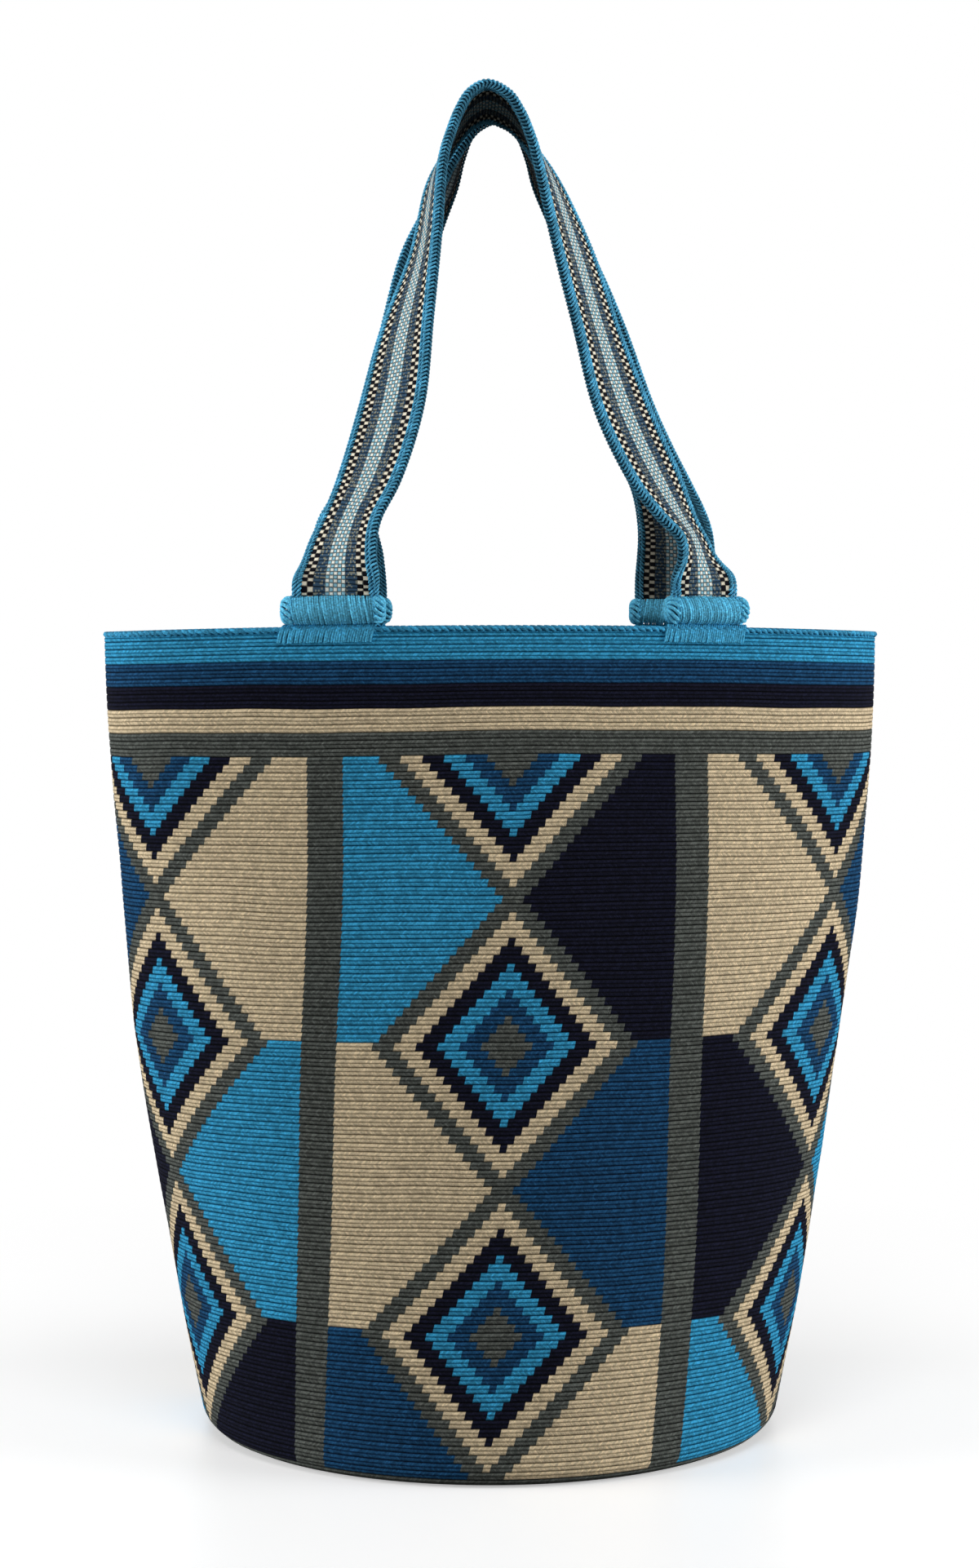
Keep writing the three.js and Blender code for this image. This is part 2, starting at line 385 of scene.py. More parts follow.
def equalAngles(oval, count, fine=720):  # angles, from the back, that share the oval equally
    halfWidth, halfDepth, _ = oval
    lengths = [0]
    for i in range(fine):
        angle = (i + 0.5) / fine * 2 * math.pi
        step = math.hypot(halfWidth * math.cos(angle), halfDepth * math.sin(angle))
        lengths.append(lengths[-1] + step)
    angles = []
    at = 0
    for k in range(count + 1):
        wanted = lengths[-1] * k / count
        while at < fine - 1 and lengths[at + 1] < wanted:
            at += 1
        part = (wanted - lengths[at]) / (lengths[at + 1] - lengths[at])
        angles.append((at + part) / fine * 2 * math.pi - math.pi)
    return angles


def wallStations():  # inset, height and round: under the base, up, over the rim and down inside
    fillet = bag["baseFillet"]
    baseRounds = int((baseRadius - fillet) / rowHeight)
    stations = []
    for i in range(1, 2 * baseRounds):
        share = i / (2 * baseRounds)
        stations.append((lerp(baseRadius, fillet, share), 0, baseRounds * (share - 1)))
    for row in range(bag["rounds"]):
        for part in bag["roundSteps"]:
            place = row + part
            height = place * rowHeight
            if place > bag["evenRounds"]:
                share = (place - bag["evenRounds"]) / (bag["rounds"] - bag["evenRounds"])
                height += bag["rimTightness"] * math.sin(share * math.pi)
            low = max(fillet - height, 0)
            high = min(max(height - bag["height"] + rimRadius, 0), rimRadius)
            inset = fillet - math.sqrt(fillet**2 - low**2)
            inset += rimRadius - math.sqrt(rimRadius**2 - high**2)
            stations.append((inset, height, place))
    top = bag["height"]
    for degrees in bag["rimSteps"]:
        angle = math.radians(degrees)
        inset = rimRadius * (1 - math.cos(angle))
        height = top - rimRadius * (1 - math.sin(angle))
        stations.append((inset, height, bag["rounds"] + degrees / 90 - 1))
    for row in range(1, bag["rounds"] - 1):
        height = max(top - row * rowHeight - rimRadius / 2, bag["wall"])
        low = max(fillet - height, 0)
        inset = bag["wall"] + fillet - math.sqrt(fillet**2 - low**2)
        stations.append((inset, height, bag["rounds"] + row + 1))
    foot = stations[-1][0]
    for i in range(1, baseRounds):
        inset = lerp(foot, baseRadius, i / baseRounds)
        stations.append((inset, bag["wall"], 2 * bag["rounds"] + i))
    return stations


def bodyMesh():
    stations = wallStations()
    columns = bag["columns"]
    floorRings = bag["rounds"] // 3  # about as many as the rounds of the bag's floor
    points = []
    rounds = []
    for inset, height, place in stations:
        oval = ovalAt(height)
        for angle in equalAngles(oval, columns)[:-1]:
            points.append(bodyPoint(oval, angle, inset, height))
            rounds.append(place)
    faces = []
    corners = []  # stitch and round at each corner of each face
    for r in range(len(stations) - 1):
        low, high = stations[r][2], stations[r + 1][2]
        inFloor = low - 2 * bag["rounds"]
        stitches = bag["stitches"]
        if low < 0:
            stitches = bag["baseGrowth"] * max(math.ceil(-low), 1)
        elif inFloor >= 0:
            stitches = bag["baseGrowth"] * max(floorRings - inFloor, 1)
        under, over = r * columns, (r + 1) * columns
        for k in range(columns):
            after = (k + 1) % columns
            faces.append((under + k, under + after, over + after, over + k))
            left = (k / columns - 0.5) * stitches
            right = ((k + 1) / columns - 0.5) * stitches
            corners += [(left, low), (right, low), (right, high), (left, high)]
    for ring, height in ((0, 0), (len(stations) - 1, bag["wall"])):
        centre = len(points)
        place = stations[ring][2]
        points.append(Vector((0, 0, height)))
        rounds.append(place)
        for k in range(columns):
            pair = [ring * columns + k, ring * columns + (k + 1) % columns]
            faces.append([centre] + (pair[::-1] if ring == 0 else pair))
            corners += [(0, place)] * 3
    mesh = bpy.data.meshes.new("crochetedBody")
    mesh.from_pydata(points, [], faces)
    layer = mesh.uv_layers.new(name="crochet")
    for loop, (stitch, place) in zip(layer.data, corners):
        loop.uv = (stitch / bag["stitches"], place / bag["rounds"])
    mesh.attributes.new("round", "FLOAT", "POINT").data.foreach_set("value", rounds)
    return mesh


# Rounds stand out as ridges, and the cloth bulges softly between them
def reliefTree(sizes):
    tree = Recipe("crochetRelief", sizes)
    part = tree.fraction(tree.named("round", "FLOAT"))
    ridge = tree.atMost(tree.wave(part) * 2.4, 1) ** 0.6  # a broad crown between narrow grooves
    place = tree.node("GeometryNodeInputPosition")
    height = tree.node("ShaderNodeSeparateXYZ", {}, {0: place}, out="Z")
    aboveBase = tree.atMost(height / bag["stillBase"], 1)
    belowRim = tree.atMost(abs(bag["height"] - height) / bag["stillRim"], 1)
    seed = tree.given("Seed")
    perMetre = tree.given("Bulges per Metre")

    def unevenness(seed, scale, detail):
        sockets = {"Vector": place, "W": seed, "Scale": scale, "Detail": detail}
        return tree.node("ShaderNodeTexNoise", {"noise_dimensions": "4D"}, sockets)

    bulge = (unevenness(seed, perMetre, 1.5) - 0.55) * 2 * aboveBase * tree.given("Bulge")
    move = bulge - (1 - ridge) * tree.given("Groove Depth")
    offset = tree.scaled(tree.node("GeometryNodeInputNormal"), move)
    wander = (unevenness(seed + 5, perMetre * 1.3, 1.0) - 0.5) * 2
    wander = tree.vector(0, 0, wander * aboveBase * belowRim * tree.given("Wobble"))
    offset = tree.node("ShaderNodeVectorMath", {"operation": "ADD"}, {0: offset, 1: wander})
    sockets = {"Geometry": tree.given("Geometry"), "Offset": offset}
    return tree.finishWith(tree.node("GeometryNodeSetPosition", {}, sockets))


# Finish of the body

pattern = {
    "column": 52,  # stitches from one diamond to the next
    "tier": 34,  # rounds from one diamond to the next
    "band": 5,  # width of an upright band, in stitches
    "rimRounds": 16,
    "stripe": 3,  # rounds in a stripe of the rim
    "stripes": ["grey", "beige", "navy", "midBlue", "lightBlue"],  # upwards to the rim
    "rings": [  # colours of a diamond, and how far from its middle each begins
        ("grey", 0), ("midBlue", 3.5), ("lightBlue", 6.5), ("navy", 9.5), ("beige", 12.5), ("grey", 15.5),
    ],
    "diamond": 18.5,  # how far from its middle a diamond ends
    "upper": [  # panels between the diamonds, by half columns from the back round the left side
        "navy", "lightBlue", "midBlue", "beige", "lightBlue",
        "navy", "beige", "midBlue", "lightBlue", "beige",
    ],
    "middle": ["beige", "midBlue", "navy", "lightBlue"] * 2 + ["beige", "midBlue"],
    "lower": [
        "midBlue", "beige", "lightBlue", "navy", "midBlue",
        "beige", "lightBlue", "navy", "midBlue", "navy",
    ],
    "phase": -0.6,  # stitches that the middle column stands off the front
    "phaseRise": -1.45,  # and how many more it does at the rim
    "lean": 0.22,  # a stitch's top stands this much to the right, in stitches
    "strokes": 3,  # strokes of yarn in a stitch
    "slant": 1.0,
    "strokeContrast": 1.9,
    "stitchContrast": 1.15,
    "lintContrast": 4.0,
    "lintPerMetre": 1500,
    "mottlePerMetre": 90,
    "paintedGrooveShade": 0.15,  # painted shade: brightness that is left in a groove without lint
    "lintInGroove": 0.3,
    "depth": 0.4,  # painted shade: how much richer the colour is made in the grooves
    "fibreHighlight": 0.0022,  # painted highlight: light that loose fibres catch
    "fibreHighlightContrast": 30,
    "paleEven": 0.7,  # how much the painted shade is softened on pale yarn, which scatters light into its gaps
    # painted shade on the inside of the bag
    "paintedInsideShade": 0.35,
    "relief": 0.7 * mm,
}


def evenStops(names, step):  # flat colours, each as wide as the others
    return [(i * step, yarn[name]) for i, name in enumerate(names)]


def patternColour(graph, stitch, row):
    tier, column = pattern["tier"], pattern["column"]
    top = bag["rounds"] - pattern["rimRounds"]
    upDown = graph.pingpong(row - (top - 1), tier / 2)
    sideways = graph.pingpong(stitch, column / 2)
    reach = upDown + sideways
    end = pattern["diamond"]
    rings = graph.steps(reach / end, [(place / end, yarn[name]) for name, place in pattern["rings"]])
    panel = stitch / bag["stitches"] + 0.5
    panels = []
    for level in ("lower", "middle", "upper"):
        names = pattern[level]
        panels.append(graph.steps(panel, evenStops(names, 1 / len(names))))
    fields = graph.mixColour(row > top - 2 * tier - 0.5, panels[0], panels[1])
    fields = graph.mixColour(row > top - tier - 0.5, fields, panels[2])
    paint = graph.mixColour(reach > end, rings, fields)
    isBand = sideways > column / 2 - pattern["band"] / 2
    paint = graph.mixColour(isBand, paint, yarn["grey"])
    rimStops = evenStops(pattern["stripes"], pattern["stripe"] / pattern["rimRounds"])
    stripes = graph.steps((row - top + 0.01) / pattern["rimRounds"], rimStops)
    paint = graph.mixColour(row > top - 0.5, paint, stripes)
    return graph.mixColour(row < 0.5, paint, yarn["grey"])


def crochetMaterial():
    material, graph, shader = newMaterial("crochetYarn")
    place = graph.node("ShaderNodeUVMap", {"uv_map": "crochet"})
    across = graph.node("ShaderNodeSeparateXYZ", {}, {0: place})
    profile = across.other("Y") * bag["rounds"]  # rounds up the outside and on, down the inside
    isInside = profile > bag["rounds"] + 0.7
    up = bag["rounds"] - abs(profile - bag["rounds"])
    up = graph.atMost(up, bag["rounds"] - 0.02)
    phase = pattern["phase"] + across.other("Y") * pattern["phaseRise"]
    stitch = across * bag["stitches"] - phase
    row = graph.floor(up)
    part = up - row
    column = graph.floor(stitch - pattern["lean"] * (part - 0.5) + 0.5)
    paint = patternColour(graph, column, row)

    isUpper = part > 0.5
    slant = (isUpper * 2 - 1) * pattern["slant"]
    stroke = stitch - slant * (part - 0.25 - isUpper * 0.5)
    strands = graph.wave(stroke * pattern["strokes"]) ** 0.7  # rounded
    loops = graph.wave(part * 2) ** 0.4  # fuller, two in a round
    groove = graph.atMost(graph.wave(part) * 4.5, 1)  # narrow, between the rounds
    height = groove * (0.12 + 0.7 * loops + 0.18 * strands * loops)

    position = graph.place()
    lint = graph.noise(position, pattern["lintPerMetre"], 2)
    mottle = graph.noise(position, pattern["mottlePerMetre"], 3)
    # painted shade: the grooves between and within the rounds are darkened
    dark = pattern["paintedGrooveShade"] + pattern["lintInGroove"] * lint
    shade = dark + (1 - dark) * height ** 1.4
    yarnStroke = graph.cells(stroke * pattern["strokes"], up * 2)
    shade = shade * graph.swing(yarnStroke, pattern["strokeContrast"])
    shade = shade * graph.swing(graph.cells(column, row), pattern["stitchContrast"])
    shade = shade * graph.swing(lint, pattern["lintContrast"])
    # mottle varies the tone at random; the upper loop of a round gets a painted highlight, a little
    # lighter as if lit from above
    shade = shade * (1.08 + 0.24 * mottle + 0.08 * isUpper)
    pale = graph.node("ShaderNodeRGBToBW", {}, {"Color": paint})
    shade = shade ** (1 - pattern["paleEven"] * pale)
    # painted shade: the inside of the bag is darkened
    shade = shade * (1 - pattern["paintedInsideShade"] * isInside)
    # painted highlight: light caught by loose fibres is added to the colour
    fibreHighlight = pattern["fibreHighlight"] * graph.swing(lint, pattern["fibreHighlightContrast"])
    # painted shade: the colour is made deeper and richer in the grooves
    rich = 1 + pattern["depth"] * (1 - height)
    paint = graph.node("ShaderNodeGamma", {}, {"Color": paint, "Gamma": rich})
    paint = graph.mixColour(1, paint, graph.grey(shade), "MULTIPLY")
    paint = graph.mixColour(1, paint, graph.grey(fibreHighlight), "ADD")
    dress(graph, shader, paint, height + 0.4 * lint, pattern["relief"])
    return material


def makeBody():
    sizes = {
        "Groove Depth": bag["grooveDepth"],
        "Wobble": bag["wobble"],
        "Bulge": bag["bulge"],
        "Bulges per Metre": bag["bulgesPerMetre"],
        "Seed": bag["seed"],
    }
    body = addObject("crochetedBody", bodyMesh())
    body = grow(body, reliefTree(sizes), crochetMaterial(), sizes)
    settle(body, "body_yarn", "crocheted_body")


makeBody()


# Yarn that lies in strands, with its twist, and painted shade in the depths

twist = {
    "roughness": 0.75,
    "gloss": 0.2,
    "fuzzPerMetre": 1800,
    "lintPerMetre": 1300,
    "lintContrast": 9,
    "relief": 0.25 * mm,
}


def strandMaterial(name, look):
    tint, dark, odd = look
    material, graph, shader = newMaterial(name, twist["roughness"], twist["gloss"])
    position = graph.place()
    fuzz = graph.noise(position, twist["fuzzPerMetre"], 3)
    lint = graph.noise(position, twist["lintPerMetre"], 2)
    chance = graph.node("ShaderNodeAttribute", {"attribute_name": "chance"}, {}, out="Fac")
    deep = graph.node("ShaderNodeAttribute", {"attribute_name": "deep"}, {}, out="Fac")
    shade = (0.76 + 0.4 * fuzz) * graph.swing(lint, twist["lintContrast"])
    # painted shade: strands marked deep are darkened
    shade = shade * graph.swing(chance, odd) * (1 - (1 - dark) * deep)
    paint = graph.mixColour(1, tint, graph.grey(shade), "MULTIPLY")
    dress(graph, shader, paint, fuzz, twist["relief"])
    return material


# Strands inside a geometry tree

def strand(tree, points, radius, steps=5, sides=5, deep=0.0):
    names = ("Start", "Start Handle", "End Handle", "End")
    sockets = {"Resolution": steps, **dict(zip(names, points))}
    line = tree.node("GeometryNodeCurvePrimitiveBezierSegment", {}, sockets)
    return thick(tree, line, radius, sides, deep)


def thick(tree, line, radius, sides=6, deep=0.0):
    sockets = {"Resolution": sides, "Radius": radius}
    circle = tree.node("GeometryNodeCurvePrimitiveCircle", {}, sockets)
    sockets = {"Curve": line, "Profile Curve": circle, "Fill Caps": True}
    solid = tree.node("GeometryNodeCurveToMesh", {}, sockets)
    return stored(tree, solid, "deep", deep)


def stored(tree, geometry, name, value, domain="POINT"):
    settings = {"data_type": "FLOAT", "domain": domain}
    sockets = {"Geometry": geometry, "Name": name, "Value": value}
    return tree.node("GeometryNodeStoreNamedAttribute", settings, sockets)


def alongCurve(tree, path, spacing):  # points at even spacing on a path of edges
    line = tree.node("GeometryNodeMeshToCurve", {}, {0: path})
    settings = {"mode": "LENGTH"}
    return tree.node("GeometryNodeResampleCurve", settings, {"Curve": line, "Length": spacing})


def placed(tree, points, shape, seed, turn=None, scale=(1, 1, 1)):  # the shape on each point
    sockets = {"Points": points, "Instance": shape, "Rotation": tree.stance(turn), "Scale": scale}
    made = tree.node("GeometryNodeInstanceOnPoints", {}, sockets)
    return stored(tree, made, "chance", tree.chance(seed), "INSTANCE")


def pathObject(name, places, acrosses, facings, closed=False):
    count = len(places)
    edges = [(i, i + 1) for i in range(count - 1)]
    if closed:
        edges.append((count - 1, 0))
    mesh = bpy.data.meshes.new(name)
    mesh.from_pydata(places, edges, [])
    for label, vectors in (("across", acrosses), ("facing", facings)):
        values = [value for vector in vectors for value in vector]
        mesh.attributes.new(label, "FLOAT_VECTOR", "POINT").data.foreach_set("vector", values)
    return addObject(name, mesh)


# Rim

rim = {
    "strandRadius": 0.78 * mm,
    "reach": 1.5 * mm,
    "look": (yarn["lightBlue"], 0.35, 1.7),  # colour, share of it left under painted shade in the depths, contrast of the strands
    "seed": 11,
}


def rimAt(degrees, along=0.0):  # top of the rim, its direction and the way out
    oval = ovalAt(bag["height"])
    step = 1e-3

    def at(angle):
        return bodyPoint(oval, angle, rimRadius, bag["height"])

    start = math.radians(degrees)
    speed = (at(start + step) - at(start - step)).length / (2 * step)
    angle = start + along / speed
    tangent = (at(angle + step) - at(angle - step)).normalized()
    return at(angle), tangent, Vector((tangent.y, -tangent.x, 0)).normalized()


# The last round is a chain: each stitch lays one strand outwards and one inwards
def chainTree(sizes):
    tree = Recipe("rimChain", sizes)
    points = alongCurve(tree, tree.given("Geometry"), tree.given("Stitch Width"))
    width, reach = tree.given("Stitch Width"), tree.given("Reach")
    strands = []
    for side in (1, -1):
        ends = [
            tree.vector(0, width * -0.62, reach * 0.35),
            tree.vector(reach * side * 1.1, width * -0.5, reach * 0.5),
            tree.vector(reach * side * 1.35, width * 0.3, reach * 0.15),
            tree.vector(reach * side * 0.55, width * 0.7, reach * -0.35),
        ]
        strands.append(strand(tree, ends, tree.given("Strand Radius"), 6, 6))
    return tree.finishWith(placed(tree, points, tree.joined(*strands), tree.given("Seed")))


def makeRim():
    oval = ovalAt(bag["height"])
    places, outs = [], []
    for angle in equalAngles(oval, 2 * bag["stitches"])[:-1]:
        place, _, outward = rimAt(math.degrees(angle))
        places.append(place)
        outs.append(outward)
    path = pathObject("rimChain", places, outs, [(0, 0, 1)] * len(places), closed=True)
    sizes = {
        "Stitch Width": bag["stitchWidth"],
        "Strand Radius": rim["strandRadius"],
        "Reach": rim["reach"],
        "Seed": rim["seed"],
    }
    piece = grow(path, chainTree(sizes), strandMaterial("rimYarn", rim["look"]), sizes)
    settle(piece, "body_yarn")


makeRim()


# Straps

strap = {
    "width": 33 * mm,
    "thickness": 2.4 * mm,
    "edgeWidth": 3.4 * mm,
    "edgeThickness": 3.1 * mm,
    "rise": 199.5 * mm,
    "lean": 16,  # degrees that its top is turned aside
    "gap": 0.25 * mm,  # from the plane between the two straps
    "frontBend": (6.4 * mm, 9.4 * mm),  # radius of the arch to the left and right of its top
    "backBend": (6.3 * mm, 6.9 * mm),
    "bendDrops": (28 * mm, 18 * mm, 9 * mm, 3 * mm),  # stations of the bend below the top
    "bendTurn": 0.6,  # share of the leg's turn that the bend's lowest station takes
    "frontTop": -1 * mm,  # top of the arch, right of the middle
    "backTop": 1.9 * mm,
    "footWidth": {"front_left": 0.96, "front_right": 0.78, "back_right": 1, "back_left": 1},  # shares
    "straightRun": 3 * mm,  # above the binding
    "tuck": 7.5 * mm,  # down into the binding
    "steps": 24,  # sections from one station to the next
    "edgeStitch": 1.5 * mm,
    "edgeStrand": 0.42 * mm,
    "innerStitchShade": 0.7,  # painted shade: how dark the inner face's stitches are
    "borderLook": (colour(84, 168, 204), 0.22, 1.7),
    "seed": 21,
}
binding = {
    "overhang": 3.2 * mm,
    "height": 11 * mm,
    "depth": 10.5 * mm,
    "sitGap": 0.3 * mm,  # over and under the whip stitches
    "strandRadius": 0.48 * mm,
    "pitch": 0.88 * mm,
    "lean": 0.16,  # how far the turns slant
    "tilt": 0.05,  # and how far they differ in it
    "look": (colour(96, 192, 228), 0.1, 1.8),
    "lengths": {"front_left": 1, "front_right": 0.86, "back_right": 1, "back_left": 1},
    "folds": 12,  # folds of a rosette
    "dome": 3.8 * mm,  # how far a rosette stands out
    "shift": 1.3 * mm,  # away from the middle of the front or back
    "seed": 31,
}
whip = {
    "thickness": 1.2 * mm,
    "length": 34.5 * mm,
    "lengths": {"front_left": 1, "front_right": 0.92, "back_right": 1, "back_left": 1},
    "shift": 2.2 * mm,
    "drop": 4.6 * mm,
    "strandRadius": 0.47 * mm,
    "pitch": 0.88 * mm,
    "slant": 2.5 * mm,
    "tilt": 0.07,
    "look": (colour(72, 170, 210), 0.2, 1.7),
    "seed": 41,
}
tabs = {  # degrees from the front
    "front_left": -26.5, "front_right": 29, "back_right": 145.2, "back_left": 199,
}
legs = {  # out as a share of the tab's place, up as a share of the rise, degrees turned
    "front_left": [
        (0.985, 0.04, 30), (0.955, 0.09, 42), (0.9, 0.14, 48), (0.785, 0.22, 44),
        (0.65, 0.36, 43), (0.55, 0.53, 55), (0.425, 0.7, 72),
    ],
    "front_right": [
        (0.98, 0.05, 60), (0.945, 0.1, 69), (0.87, 0.15, 61), (0.78, 0.22, 51),
        (0.63, 0.36, 48), (0.505, 0.53, 57), (0.39, 0.7, 62),
    ],
    "back_left": [
        (1, 0.06, 29), (0.99, 0.14, 49), (0.855, 0.22, 54), (0.67, 0.4, 52),
        (0.57, 0.57, 60), (0.475, 0.72, 70),
    ],
    "back_right": [
        (1, 0.06, 22), (0.99, 0.13, 32), (0.92, 0.22, 47), (0.81, 0.31, 49),
        (0.71, 0.4, 50), (0.57, 0.57, 57), (0.445, 0.72, 71),
    ],
}
bindingFoot = 2 * binding["sitGap"] + whip["thickness"]
bindingTop = bindingFoot + binding["height"]
strapFoot = bindingTop - strap["tuck"]
strapClear = bindingTop + strap["straightRun"]
bindingLength = strap["width"] + 2 * binding["overhang"]


def strapStations(side, leftTab, rightTab):  # middle, degrees turned, shares of the lean and width
    half = strap["width"] / 2
    topDepth = side * (half * math.cos(math.radians(strap["lean"])) + strap["gap"])
    topHeight = bag["height"] + strap["rise"]
    isFront = side < 0
    topPlace = strap["frontTop"] if isFront else strap["backTop"]
    bend = strap["frontBend"] if isFront else strap["backBend"]

    def leg(tab, mirror):
        back = -bag["lean"] * math.copysign(1, math.cos(math.radians(tabs[tab])))
        place, tangent, _ = rimAt(tabs[tab], back)
        turn = math.degrees(math.atan2(mirror * tangent.y, -side * tangent.x))
        start = place.z + strapClear
        width = strap["footWidth"][tab]
        stations = []
        for up in (strapFoot, bindingTop, strapClear):
            stations.append((place + Vector((0, 0, up)), turn, 0, width))
        for out, up, degrees in legs[tab]:
            point = Vector((place.x * out, lerp(place.y, topDepth, up), lerp(start, topHeight, up)))
            stations.append((point, degrees, up, 1))
        for drop in strap["bendDrops"]:
            radius = bend[place.x > 0]
            x = topPlace + math.copysign(math.sqrt(2 * radius * drop), place.x)
            up = 1 - drop / (topHeight - start)
            point = Vector((x, lerp(place.y, topDepth, up), topHeight - drop))
            turned = lerp(90, legs[tab][-1][2], strap["bendTurn"] * drop / strap["bendDrops"][0])
            stations.append((point, turned, up, 1))
        return stations

    right = [(point, 180 - turn, *shares) for point, turn, *shares in reversed(leg(rightTab, 1))]
    top = (Vector((topPlace, topDepth, topHeight)), 90, 1, 1)
    return leg(leftTab, -1) + [top] + right


def between(before, start, end, after, spans, share):  # a curve through start and end
    first, middle, last = spans
    way = (end - start) / middle
    leave = ((start - before) / first - (end - before) / (first + middle) + way) * middle
    arrive = (way - (after - start) / (middle + last) + (after - end) / last) * middle
    bend = (end - start) * 3 - leave * 2 - arrive
    rest = (start - end) * 2 + leave + arrive
    return start + leave * share + bend * share**2 + rest * share**3


def strapFrames(side, leftTab, rightTab):  # place, along, across and outwards at each section
    stations = strapStations(side, leftTab, rightTab)
    turns = [Vector(turn) for _, *turn in stations]
    places = [point for point, *_ in stations]
    places = [2 * places[0] - places[1]] + places + [2 * places[-1] - places[-2]]
    turns = [turns[0]] + turns + [turns[-1]]
    rows = []
    for k in range(1, len(places) - 2):
        spans = [math.sqrt((places[k + i] - places[k + i - 1]).length) for i in range(3)]
        last = k == len(places) - 3
        for i in range(strap["steps"] + (1 if last else 0)):
            share = i / strap["steps"]
            point = between(*places[k - 1:k + 3], spans, share)
            turn = between(*turns[k - 1:k + 3], spans, share)
            rows.append((point, math.radians(turn.x), math.radians(strap["lean"]) * turn.y, turn.z))
    frames = []
    for i, (point, turn, lean, width) in enumerate(rows):
        along = (rows[min(i + 1, len(rows) - 1)][0] - rows[max(i - 1, 0)][0]).normalized()
        across = Vector((
            -math.cos(turn),
            -side * math.sin(turn) * math.cos(lean),
            -math.sin(turn) * math.sin(lean),
        ))
        across = (across - along * across.dot(along)).normalized()
        frames.append((point, along, across * width, along.cross(across)))
    return frames


def strapSection():  # across, outwards: a flat band between two round borders
    half = strap["width"] / 2
    inner = half - strap["edgeWidth"]
    middle = half - strap["edgeWidth"] / 2
    sunk = strap["edgeStrand"] * 0.9  # the border's core lies this deep under its stitches
    coreHeight = strap["edgeThickness"] / 2 - sunk
    coreWidth = strap["edgeWidth"] / 2 - sunk
    face = [(lerp(-inner, inner, i / 20), strap["thickness"] / 2) for i in range(21)]
    border = []
    for degrees in range(75, -76, -30):
        angle = math.radians(degrees)
        border.append((middle + coreWidth * math.cos(angle), coreHeight * math.sin(angle)))
    outline = border[::-1] + face[::-1]
    return outline + [(-x, -y) for x, y in outline]


def bandMesh(name, frames, side):
    section = strapSection()
    count = len(section)
    points, faces, corners = [], [], []
    length = 0
    lengths = []
    for i, (place, _, across, out) in enumerate(frames):
        if i:
            length += (place - frames[i - 1][0]).length
        lengths.append(length)
        points += [place + across * x + out * y for x, y in section]
    for i in range(len(frames) - 1):
        under, over = i * count, (i + 1) * count
        for k in range(count):
            after = (k + 1) % count
            faces.append((under + k, under + after, over + after, over + k))
            corners += [(section[k][0], lengths[i]), (section[after][0], lengths[i])]
            corners += [(section[after][0], lengths[i + 1]), (section[k][0], lengths[i + 1])]
    ends = [(len(frames) - 1) * count + k for k in range(count)]
    faces += [list(range(count))[::-1], ends]
    corners += [(x, 0) for x, _ in section[::-1]] + [(x, lengths[-1]) for x, _ in section]
    mesh = bpy.data.meshes.new(name)
    mesh.from_pydata(points, [], faces)
    layer = mesh.uv_layers.new(name="weave")
    offsets = []  # the inner face has its own part of the map, which carries its painted shade
    for k in range(count):
        isInner = (k < count // 2) == (side > 0)
        offsets += [2 if isInner else 0] * 4
    offsets = offsets * (len(frames) - 1) + [0] * (2 * count)
    for loop, (x, y), offset in zip(layer.data, corners, offsets):
        loop.uv = (x / strap["width"] + 0.5 + offset, y / strap["width"])
    mesh.shade_smooth()
    return mesh


# Each stitch of a border lays two slanting strands over either face, and they meet at the edge
def edgeTree(sizes):
    tree = Recipe("edgeStitches", sizes)
    points = alongCurve(tree, tree.given("Geometry"), tree.given("Stitch"))
    stitch, width = tree.given("Stitch"), tree.given("Half Width")
    strands = []
    for side in (1, -1):
        lift = tree.given("Half Thickness") * side
        inner = [
            tree.vector(width * -0.95, stitch * -0.75, lift * 0.5),
            tree.vector(width * -0.7, stitch * -0.4, lift * 1.3),
            tree.vector(width * -0.2, stitch * 0.1, lift * 1.3),
            tree.vector(width * 0.1, stitch * 0.75, lift * 0.6),
        ]
        outer = [
            tree.vector(width * 0.1, stitch * -0.75, lift * 0.6),
            tree.vector(width * 0.3, stitch * -0.1, lift * 1.3),
            tree.vector(width * 0.9, stitch * 0.1, lift * 1.2),
            tree.vector(width * 0.95, stitch * 0.85, lift * 0.05),
        ]
        # painted shade on the stitches of the inner face
        deep = 0 if side > 0 else strap["innerStitchShade"]
        for ends in (inner, outer):
            strands.append(strand(tree, ends, tree.given("Strand Radius"), 5, 5, deep))
    return tree.finishWith(placed(tree, points, tree.joined(*strands), tree.given("Seed")))


weave = {
    "centre": 3.9 * mm,  # from the middle to the end of the dots, five in a row
    "slate": 8.5 * mm,  # to the end of the slate stripe
    "check": 13.1 * mm,  # to the end of the checks
    "cell": 1.45 * mm,  # along the strap
    "dotWidth": 1.56 * mm,
    "checkWidth": 2.3 * mm,
    "threadWidth": 0.6 * mm,
    "cream": colour(236, 228, 206),
    "dotCream": colour(238, 240, 230),
    "dotBlue": colour(142, 192, 210),
    "slateBlue": colour(56, 80, 102),
    "slateTan": colour(134, 136, 124),
    "black": colour(18, 18, 26),
    # painted shade: the border's core is dark so that the gaps between its stitches look shaded
    "borderGapShade": colour(36, 100, 132),
    "tanShare": 0.3,  # of the slate stripe
    "reverse": 0.35,  # painted shade: how much of its colour the inner face keeps
    "fuzzPerMetre": 1500,
    "lintPerMetre": 620,
    "relief": 0.5 * mm,
}


